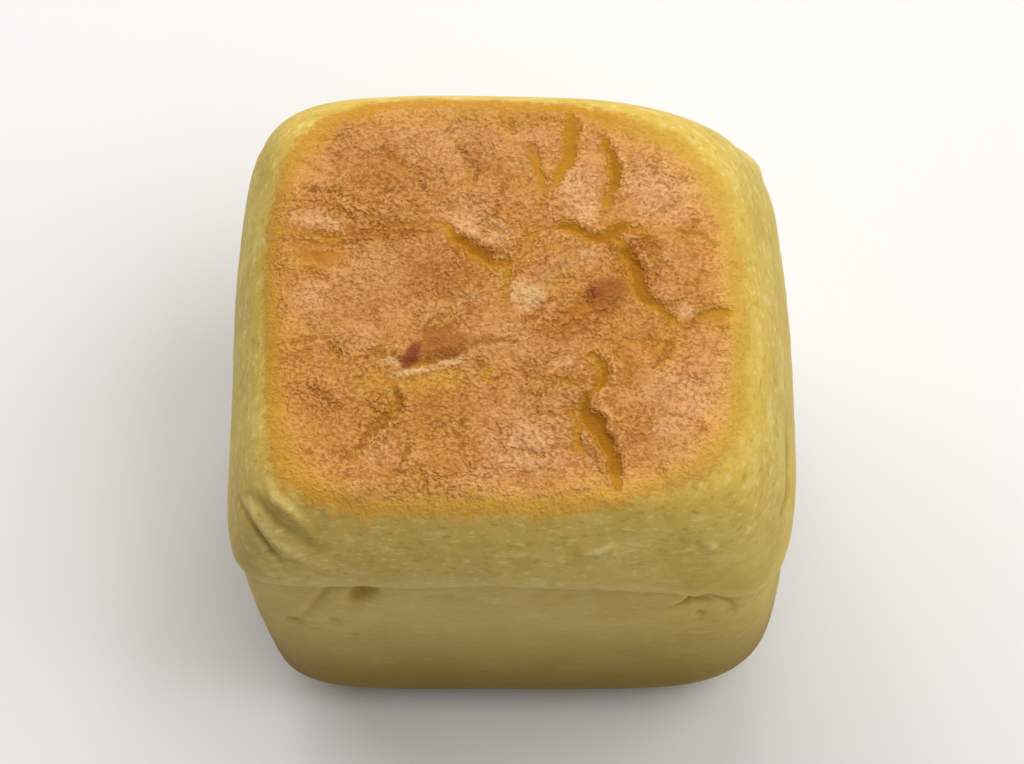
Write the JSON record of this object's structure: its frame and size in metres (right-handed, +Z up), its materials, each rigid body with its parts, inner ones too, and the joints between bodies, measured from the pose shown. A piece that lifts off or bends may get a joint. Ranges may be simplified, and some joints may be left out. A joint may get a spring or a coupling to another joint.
{
  "type": "lemon cream cube bread",
  "caption": "Soft square bun in one piece with a browned, cracked and wrinkled crown, pale yellow walls, corner folds and a flat base.",
  "frame": {"origin": "middle of the bun's footprint at its flat base", "axes": "+Z up through the browned crown, -Y towards the front wall that the picture shows, +X to the right as seen from the front"},
  "size_m": [0.0702, 0.068, 0.0587],
  "materials": {
    "bread": "soft baked crumb, satin"
  },
  "bodies": {
    "root": {"cube_bread": "bread"}
  },
  "joints": []
}
